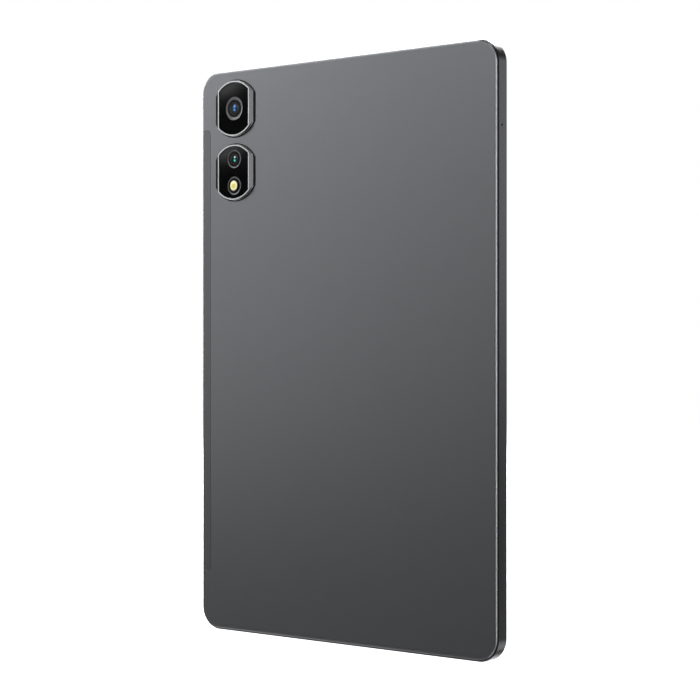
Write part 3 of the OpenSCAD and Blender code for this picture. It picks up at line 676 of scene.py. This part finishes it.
def build_island(label, z, lenses, bore_r, hole_r):
    """An island's dark base, metal ring, window and the black print under it."""
    base_sections = [(island_at(z, BASE_R, BASE_HALF), BACK_Y - 0.01 * MM)]
    base_sections += [
        (island_at(z, BASE_R - i, BASE_HALF - i), BASE_TOP - d)
        for i, d in reversed(quarter_round(0.12 * MM, 4))
    ]
    base = solid(f"island_base_{label}", base_sections)
    bores = hole_cutter(
        lambda g: circle(hole_r + g), [(ISLAND_X, o) for o in lenses], BASE_TOP, -1, along_y
    )
    cut(base, bores)
    piece(base, deep_black, "body", [f"camera_base_{label}"])

    def facet(y):
        """Half the ring's width at a height: its two slanted sides widen towards the base."""
        return FLAT_HALF + (RING_HALF - FLAT_HALF) * (ISLAND_TOP - y) / (ISLAND_TOP - BASE_TOP)

    edge, lip = 0.06 * MM, 0.16 * MM
    sections = [
        (island_at(z, RING_R + lip / 2, facet(BASE_TOP)), BASE_TOP),
        (island_at(z, RING_R + lip, facet(BASE_TOP + edge)), BASE_TOP + edge),
        (island_at(z, RING_R, facet(BASE_TOP + lip)), BASE_TOP + lip),
        (island_at(z, RING_R, facet(ISLAND_TOP - edge)), ISLAND_TOP - edge),
        (island_at(z, RING_R - edge / 2, FLAT_HALF - edge / 2), ISLAND_TOP),
        (island_at(z, POCKET_R + edge, POCKET_HALF + edge), ISLAND_TOP),
        (island_at(z, POCKET_R, POCKET_HALF), ISLAND_TOP - edge),
        (island_at(z, POCKET_R, POCKET_HALF), WINDOW_Y),
    ]
    ring = solid(f"island_ring_{label}", sections)
    bores = hole_cutter(
        lambda g: circle(bore_r + FIT_GAP + g), [(ISLAND_X, o) for o in lenses],
        WINDOW_Y, -1, along_y, edge=0.02 * MM,
    )
    cut(ring, bores)
    piece(ring, ring_metal, "body", [f"camera_ring_{label}"], angle=20)
    ring.data.materials.append(cut_rim)
    ring.data.materials.append(ring_wall_painted_light)
    # The ring's top takes the cut rim; its walls that face up or down take the paler metal, which
    # is painted light.
    for face in ring.data.polygons:
        if face.normal.y > 0.99 and face.center.y > ISLAND_TOP - 2 * edge:
            face.material_index = 1
        elif abs(face.normal.z) > 0.1 and face.center.y > BASE_TOP:
            face.material_index = 2

    def window_at(grow):
        return island_at(z, POCKET_R - FIT_GAP + grow, POCKET_HALF - FIT_GAP + grow)

    printed = solid(
        f"island_print_{label}",
        [(window_at(0), WINDOW_Y + 0.01 * MM), (window_at(0), PRINT_Y)],
    )
    views = hole_cutter(
        lambda g: circle(bore_r + g), [(ISLAND_X, o) for o in lenses], PRINT_Y, -1, along_y,
        edge=0.01 * MM,
    )
    cut(printed, views)
    # The print under the window carries the glass's painted reflection.
    piece(printed, black_glass_painted_reflection(f"black_glass_painted_reflection_{label}", z), "body")

    top, edge = WINDOW_HIGH.y, 0.08 * MM
    sections = [(window_at(0), PRINT_Y + 0.01 * MM)]
    sections += [(window_at(-i), top - d) for i, d in reversed(quarter_round(edge, 4))]
    window = solid(f"island_glass_{label}", sections)
    if FLASH_Z in lenses:
        cut(window, hole_cutter(
            lambda g: circle(FLASH_R + FIT_GAP + g), [(ISLAND_X, FLASH_Z)], top, -1, along_y,
            edge=0.02 * MM,
        ))
    piece(window, window_glass, "body", [f"camera_window_{label}"])
    window.data.materials.append(deep_black)
    for face in window.data.polygons:
        if abs(face.normal.y) < 0.5:
            face.material_index = 1


def build_lens_print(label, z, outer_r, aperture_r):
    """The black print under the window, between a lens's metal ring and the lens."""
    low, high = WINDOW_Y + 0.02 * MM, PRINT_Y - 0.02 * MM
    profile = [(outer_r, low), (outer_r, high), (aperture_r, high), (aperture_r, low)]
    ring = lathe(f"lens_print_{label}", profile, ISLAND_X, z)
    piece(ring, aperture_print(f"aperture_print_{label}", z, aperture_r), "body")


def lathe(name, profile, x, z, steps=ROUND_STEPS):
    """A turned piece about an axis along Y; profile is (radius, y) pairs, closed."""
    return tube(name, [(circle(r, x, z, steps), y) for r, y in profile])


def dome(name, x, z, r, rim_y, base_y, rise, steps=12):
    """A rod from base_y to rim_y with a ball-shaped end that rises (or sinks) from there."""
    ball_r = (r * r + rise * rise) / (2 * abs(rise))
    side = math.copysign(1, rise)
    sections = [(circle(r, x, z), base_y)]
    for k in range(steps):
        local = r * math.cos(math.pi / 2 * k / steps)
        lift = math.sqrt(ball_r * ball_r - local * local) - (ball_r - abs(rise))
        sections.append((circle(local, x, z), rim_y + side * lift))
    return solid(name, sections)


def build_lens_ring(label, z, outer_r, inner_r):
    """A satin ring round a lens, whose face slopes a little towards the lens."""
    face = WINDOW_Y - 0.02 * MM
    edge, slope = 0.06 * MM, 0.10
    profile = [
        (outer_r, BASE_TOP),
        (outer_r, face - edge),
        (outer_r - edge, face),
        (inner_r, face - slope * (outer_r - inner_r)),
        (inner_r, BASE_TOP),
    ]
    ring = lathe(f"lens_trim_{label}", profile, ISLAND_X, z)
    piece(ring, satin, "body", [f"lens_ring_{label}"])


def build_camera(label, z, barrel_r, lens_r, coating):
    """The camera module: its box, a stepped black barrel, and the coated front lens with its
    painted highlights.
    """
    low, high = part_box(f"{label}_camera")
    box_half = barrel_r + 1.85 * MM
    bm = bmesh.new()
    outline = round_rect(box_half, box_half, 0.4 * MM, ISLAND_X, z, steps=6)
    add_solid(bm, [(outline, low.y), (outline, CAMERA_BACK_Y)], along_y)
    box = new_object("box", bm)
    top = high.y
    profile = [
        (barrel_r, CAMERA_BACK_Y),
        (barrel_r, top - 0.1 * MM),
        (barrel_r - 0.1 * MM, top),
        (barrel_r - 0.55 * MM, top),
        (barrel_r - 0.75 * MM, top - 0.25 * MM),
        (lens_r + 0.45 * MM, top - 0.30 * MM),
        (lens_r + 0.30 * MM, top - 0.45 * MM),
        (lens_r, top - 0.50 * MM),
        (lens_r, CAMERA_BACK_Y),
    ]
    barrel = lathe("barrel", profile, ISLAND_X, z)
    module = joined(f"{label}_camera_module", [box, barrel])
    piece(module, black_plastic, "body", [f"{label}_camera"])

    front = dome(
        f"{label}_front_lens", ISLAND_X, z, lens_r - 0.02 * MM,
        top - 0.35 * MM, CAMERA_BACK_Y + 0.1 * MM, 0.2 * lens_r,
    )
    piece(front, coating, "body", [f"{label}_camera_lens"], angle=60)


def build_flash():
    """The flash's moulded lens, a rod with a low crown."""
    crown = 0.30 * MM
    lens = dome(
        "flash_dome", ISLAND_X, FLASH_Z, FLASH_R, FLASH_HIGH.y - crown, FLASH_LOW.y, crown
    )
    piece(lens, flash_resin, "body", ["flash_lens"], angle=60)


# ---------------------------------------------------------------- keys, tray and socket
def plate(name, outline, w0, w1, place=along_y, edge=0.08 * MM):
    """A flat piece with softened edges; outline takes its inset."""
    sections = [(outline(edge), w0), (outline(0), w0 + edge)]
    sections += [(outline(0), w1 - edge), (outline(edge), w1)]
    return solid(name, sections, place)


def box_outline(low_u, high_u, low_v, high_v, r):
    """A rectangle with round corners that takes its inset."""
    cu, cv = (low_u + high_u) / 2, (low_v + high_v) / 2
    half_u, half_v = (high_u - low_u) / 2, (high_v - low_v) / 2
    return lambda i: round_rect(half_u - i, half_v - i, r - i, cu, cv, steps=8)


def build_key(name, cad, half_len, place, ends, flange, stems):
    """A pill-shaped cap with a soft edge, the flange that keeps it in, and its stems."""
    bottom, outer = ends
    flange_top, flange_grow = flange
    flange_t, round_r = 0.5 * MM, 0.35 * MM
    middle = sum(stems) / len(stems)
    top = bottom + flange_top
    cap = [(pill(half_len, KEY_HALF_W, middle, KEY_Y), top - flange_t / 2)]
    cap += [
        (pill(half_len - i, KEY_HALF_W - i, middle, KEY_Y), outer - d)
        for i, d in reversed(quarter_round(round_r, 6))
    ]
    key = solid(name, cap, place)
    flange_half_w = KEY_HALF_W + 0.5 * MM
    cut(key, plate(
        "flange", lambda i: pill(half_len + flange_grow - i, flange_half_w - i, middle, KEY_Y),
        top - flange_t, top, place,
    ), "UNION")
    for u in stems:
        cut(key, plate(
            "stem", lambda i: circle(0.8 * MM - i, u, KEY_Y, 32), bottom, top - 0.4 * MM, place
        ), "UNION")
    piece(key, key_metal, name, [cad])


def build_keys():
    """The power key in the top side and the volume rocker in the long side."""
    low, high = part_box("power_button")
    x = (low.x + high.x) / 2
    build_key(
        "power_key", "power_button", 5.7 * MM, along_z, (low.z, high.z),
        (1.4 * MM, 0.6 * MM), [x],
    )
    low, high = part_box("volume_rocker")
    z = (low.z + high.z) / 2
    build_key(
        "volume_key", "volume_rocker", 12 * MM, along_x, (low.x, high.x),
        (1.0 * MM, 1.0 * MM), [z - 9 * MM, z + 9 * MM],
    )


def build_tray():
    """The tray: a face that closes the side, and a plate with two stepped card pockets."""
    low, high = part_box("card_tray")
    face_t, ledge = 1.4 * MM, 0.6 * MM
    z = (low.z + high.z) / 2
    plate_y, plate_t = -0.6 * MM, 0.8 * MM
    plate_low, plate_high = z - 4.4 * MM, z + 7 * MM
    tray = plate(
        "card_drawer",
        box_outline(low.x, high.x - face_t + 0.2 * MM, plate_low, plate_high, 0.9 * MM),
        plate_y, plate_y + plate_t,
    )
    for start, end in ((1, 10), (11, 21.5)):
        u0, u1 = low.x + start * MM, low.x + end * MM
        v0, v1 = plate_low + 1.2 * MM, plate_high - 1.2 * MM
        seat = box_outline(u0, u1, v0, v1, 0.8 * MM)
        well = box_outline(u0 + ledge, u1 - ledge, v0 + ledge, v1 - ledge, 0.8 * MM)
        cut(tray, solid("cutter", [(seat(0), plate_y - MM), (seat(0), plate_y + 0.55 * MM)]))
        cut(tray, solid("cutter", [(well(0), plate_y - MM), (well(0), plate_y + 2 * plate_t)]))
    half_len = (high.z - low.z) / 2
    face = [(pill(half_len, KEY_HALF_W, z, KEY_Y), high.x - face_t)]
    face += [
        (pill(half_len - i, KEY_HALF_W - i, z, KEY_Y), high.x - d)
        for i, d in reversed(quarter_round(0.12 * MM, 4))
    ]
    cut(tray, solid("face", face, along_x), "UNION")
    pin_hole = hole_cutter(
        lambda g: circle(0.5 * MM + g, steps=32), [(z - 5.9 * MM, KEY_Y)], high.x, -1, along_x,
    )
    cut(tray, pin_hole)
    piece(tray, tray_paint, "tray", ["card_tray"])


def build_usb_socket():
    """The steel shell with a rolled mouth, the tongue and its two rows of contacts."""
    low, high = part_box("usb_c_shell")
    sheet, back = 0.3 * MM, 0.4 * MM
    half_u, half_v = (high.x - low.x) / 2, (high.y - low.y) / 2
    lip = 0.12 * MM
    inner_u, inner_v = half_u - sheet, half_v - sheet

    def ring(u, v):
        return pill(u, v, 0, KEY_Y)

    shell_sections = [
        (ring(half_u, half_v), high.z),
        (ring(half_u, half_v), low.z + lip),
        (ring(half_u - lip / 3, half_v - lip / 3), low.z + lip / 3),
        (ring(half_u - lip, half_v - lip), low.z),
        (ring(inner_u + lip, inner_v + lip), low.z),
        (ring(inner_u + lip / 3, inner_v + lip / 3), low.z + lip / 3),
        (ring(inner_u, inner_v), low.z + lip),
        (ring(inner_u, inner_v), high.z - back),
    ]
    socket = solid("usb_socket_shell", shell_sections, along_z)
    piece(socket, sheet_steel, "body", ["usb_c_shell"])

    low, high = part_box("usb_c_tongue")
    tongue_half, tongue_half_t = 3.35 * MM, 0.35 * MM
    tip = box_outline(
        -tongue_half, tongue_half, KEY_Y - tongue_half_t, KEY_Y + tongue_half_t, 0.12 * MM
    )
    tongue = plate("usb_tongue", tip, low.z, high.z - 0.2 * MM, along_z, edge=0.1 * MM)
    foot_half = (high.x - low.x) / 2
    foot_half_t = (high.y - low.y) / 2
    foot = plate(
        "foot", lambda i: pill(foot_half - i, foot_half_t - i, 0, KEY_Y),
        high.z - 0.5 * MM, high.z, along_z,
    )
    cut(tongue, foot, "UNION")
    piece(tongue, black_plastic, "body", ["usb_c_tongue"])

    bm = bmesh.new()
    pitch, half_w, proud = 0.5 * MM, 0.13 * MM, 0.02 * MM
    for side in (-1, 1):
        y = KEY_Y + side * tongue_half_t
        for k in range(12):
            x = (k - 5.5) * pitch
            outline = [
                (x - half_w, y - proud), (x + half_w, y - proud),
                (x + half_w, y + proud), (x - half_w, y + proud),
            ]
            start = low.z + (0.7 if k in (0, 3, 8, 11) else 1.0) * MM
            add_solid(bm, [(outline, start), (outline, high.z - 0.6 * MM)], along_z)
    contacts = new_object("usb_contacts", bm)
    piece(contacts, gold, "body")


def build_front_camera():
    """The front camera: its box, a stepped cone behind the glass, and a small lens."""
    low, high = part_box("front_camera")
    x = (low.x + high.x) / 2
    half = (high.x - low.x) / 2
    box_front = -2.1 * MM
    box = plate("box", box_outline(x - half, x + half, MID_Z - half, MID_Z + half, 0.4 * MM),
                box_front, high.y)
    r, mouth = 1.9 * MM, 0.65 * MM
    front = low.y
    profile = [
        (r, box_front + 0.1 * MM),
        (r, front + 0.05 * MM),
        (r - 0.05 * MM, front),
        (1.5 * MM, front),
        (1.35 * MM, front + 0.12 * MM),
        (0.95 * MM, front + 0.16 * MM),
        (0.85 * MM, front + 0.30 * MM),
        (mouth, front + 0.32 * MM),
        (mouth, box_front + 0.1 * MM),
    ]
    barrel = lathe("barrel", profile, x, MID_Z, steps=64)
    module = joined("front_camera_module", [box, barrel])
    piece(module, black_plastic, "body", ["front_camera"])
    eye = dome(
        "front_camera_lens", x, MID_Z, mouth - 0.02 * MM, front + 0.55 * MM,
        box_front + 0.05 * MM, -0.18 * MM,
    )
    piece(eye, dark_coating, "body", angle=60)


build_housing()
build_strip()
build_screen()
build_island("main", MAIN_Z, [MAIN_Z], MAIN_RING_R, MAIN_SLEEVE_R)
build_island("second", SECOND_Z, [LENS_Z, FLASH_Z], SMALL_RING_R, SMALL_SLEEVE_R)
build_lens_ring("main", MAIN_Z, MAIN_RING_R, MAIN_RING_BORE)
build_lens_ring("second", LENS_Z, SMALL_RING_R, SMALL_RING_BORE)
build_lens_ring("flash", FLASH_Z, SMALL_RING_R, SMALL_RING_BORE)
build_lens_print("main", MAIN_Z, MAIN_RING_BORE, 2.9 * MM)
build_lens_print("second", LENS_Z, SMALL_RING_BORE, 2.3 * MM)
build_lens_print("flash", FLASH_Z, SMALL_RING_BORE, FLASH_R + FIT_GAP)
build_camera("main", MAIN_Z, 3.9 * MM, 2.6 * MM, blue_lens_painted_glints)
build_camera("second", LENS_Z, 3.2 * MM, 2.1 * MM, teal_lens_painted_glints)
build_flash()
build_keys()
build_tray()
build_usb_socket()
build_front_camera()


# ---------------------------------------------------------------- stage, light and camera
def build_stage():
    """A pale floor that neither mirrors in the object nor casts light on it."""
    material = new_material("pale_floor", (0.88, 0.88, 0.88), 0.0, 0.8)
    shader_of(material).inputs["Emission Color"].default_value = (1, 1, 1, 1)
    shader_of(material).inputs["Emission Strength"].default_value = 1.0
    noise = grain(material, 12.0)
    tint(material, noise, (0.87, 0.87, 0.87), (0.89, 0.89, 0.89))
    bm = bmesh.new()
    outline = circle(2.5, 0, 0, steps=128)
    add_solid(bm, [(outline, -0.01), (outline, 0.0)], along_z)
    floor = new_object("floor", bm)
    floor.data.materials.append(material)
    floor.visible_glossy = False
    floor.visible_diffuse = False
    floor.visible_transmission = False
    floor.visible_shadow = False


LIGHT_DISTANCE = 1.8
CAMERA_DISTANCE = 0.846
CAMERA_YAW = 40


def area_light(name, azimuth, elevation, size, power):
    """A soft box that faces the body's middle. Azimuth turns from +Y towards -X."""
    a, e = math.radians(azimuth), math.radians(elevation)
    away = Vector((-math.sin(a) * math.cos(e), math.cos(a) * math.cos(e), math.sin(e)))
    data = bpy.data.lights.new(name, "AREA")
    data.shape = "RECTANGLE"
    data.size, data.size_y = size
    data.energy = power
    light = bpy.data.objects.new(name, data)
    light.location = Vector((0, 0, MID_Z)) + away * LIGHT_DISTANCE
    light.rotation_euler = away.to_track_quat("Z", "Y").to_euler()
    light.visible_camera = False
    bpy.context.scene.collection.objects.link(light)


def build_world(seen, lit):
    """A pale background for the eye, and a dimmer even light on the object."""
    world = bpy.data.worlds.new("studio")
    bpy.context.scene.world = world
    world.use_nodes = True
    nodes, links = world.node_tree.nodes, world.node_tree.links
    nodes.clear()
    path = nodes.new("ShaderNodeLightPath")
    mix = nodes.new("ShaderNodeMixShader")
    output = nodes.new("ShaderNodeOutputWorld")
    lighting = nodes.new("ShaderNodeBackground")
    lighting.inputs["Color"].default_value = (1, 1, 1, 1)
    lighting.inputs["Strength"].default_value = lit
    backdrop = nodes.new("ShaderNodeBackground")
    backdrop.inputs["Color"].default_value = (1, 1, 1, 1)
    backdrop.inputs["Strength"].default_value = seen
    links.new(path.outputs["Is Camera Ray"], mix.inputs["Fac"])
    links.new(lighting.outputs["Background"], mix.inputs[1])
    links.new(backdrop.outputs["Background"], mix.inputs[2])
    links.new(mix.outputs["Shader"], output.inputs["Surface"])


def build_camera_view():
    """A level camera that sees the back and the long side without the strip."""
    data = bpy.data.cameras.new("view")
    data.lens = 100
    data.sensor_width = 36
    data.clip_start = 0.01
    camera = bpy.data.objects.new("view", data)
    aim = Vector((-5.6 * MM, BACK_Y, 128.75 * MM))
    yaw = math.radians(CAMERA_YAW)
    away = Vector((-math.sin(yaw), math.cos(yaw), 0))
    camera.location = aim + away * CAMERA_DISTANCE
    camera.rotation_euler = away.to_track_quat("Z", "Y").to_euler()
    bpy.context.scene.collection.objects.link(camera)
    bpy.context.scene.camera = camera


build_stage()
build_world(1.0, 0.02)
SQUARE, STRIP = (0.7, 0.7), (0.28, 0.8)
# Name, azimuth, elevation, size in metres, power in watts
LIGHTS = [
    # the back, paler towards its top
    ("key_high", -55, 25, SQUARE, 6.1),
    ("key_mid", -55, 5, SQUARE, 2.2),
    ("key_low", -55, -35, SQUARE, 3.8),
    ("back_fill", -38, 5, SQUARE, 0.9),
    ("back_high", -20, 25, SQUARE, 3.9),
    # the rounding along the top edge
    ("top_rim", -100, 50, SQUARE, 13.0),
    ("top_soft", -68, 48, SQUARE, 6.0),
    ("top_far", -128, 34, SQUARE, 12.0),
    # the bright lines along the long side's rounding and the islands' slanted sides
    ("edge_strip_left", 18, 12, STRIP, 7.2),
    ("edge_strip_high", 42, 12, STRIP, 9.4),
    ("edge_strip_low", 42, -12, STRIP, 7.2),
    # the long side and its two corners
    ("side_high", 152, 10, SQUARE, 2.1),
    ("corner_high", 12, 48, SQUARE, 4.8),
    ("overhead", 60, 84, SQUARE, 4.5),
    ("corner_low", 12, -48, SQUARE, 6.0),
    ("corner_back_high", -166, 36, SQUARE, 9.0),
    ("corner_back_low", -160, -32, SQUARE, 3.5),
    ("side_mid", 160, 5, SQUARE, 0.4),
    ("side_low", 152, -28, SQUARE, 2.2),
    # the screen side
    ("front_key", -150, 30, SQUARE, 23.2),
    ("front_side", -115, 10, STRIP, 11.6),
]
for light in LIGHTS:
    area_light(*light)
build_camera_view()
bpy.context.scene.view_settings.view_transform = "Standard"
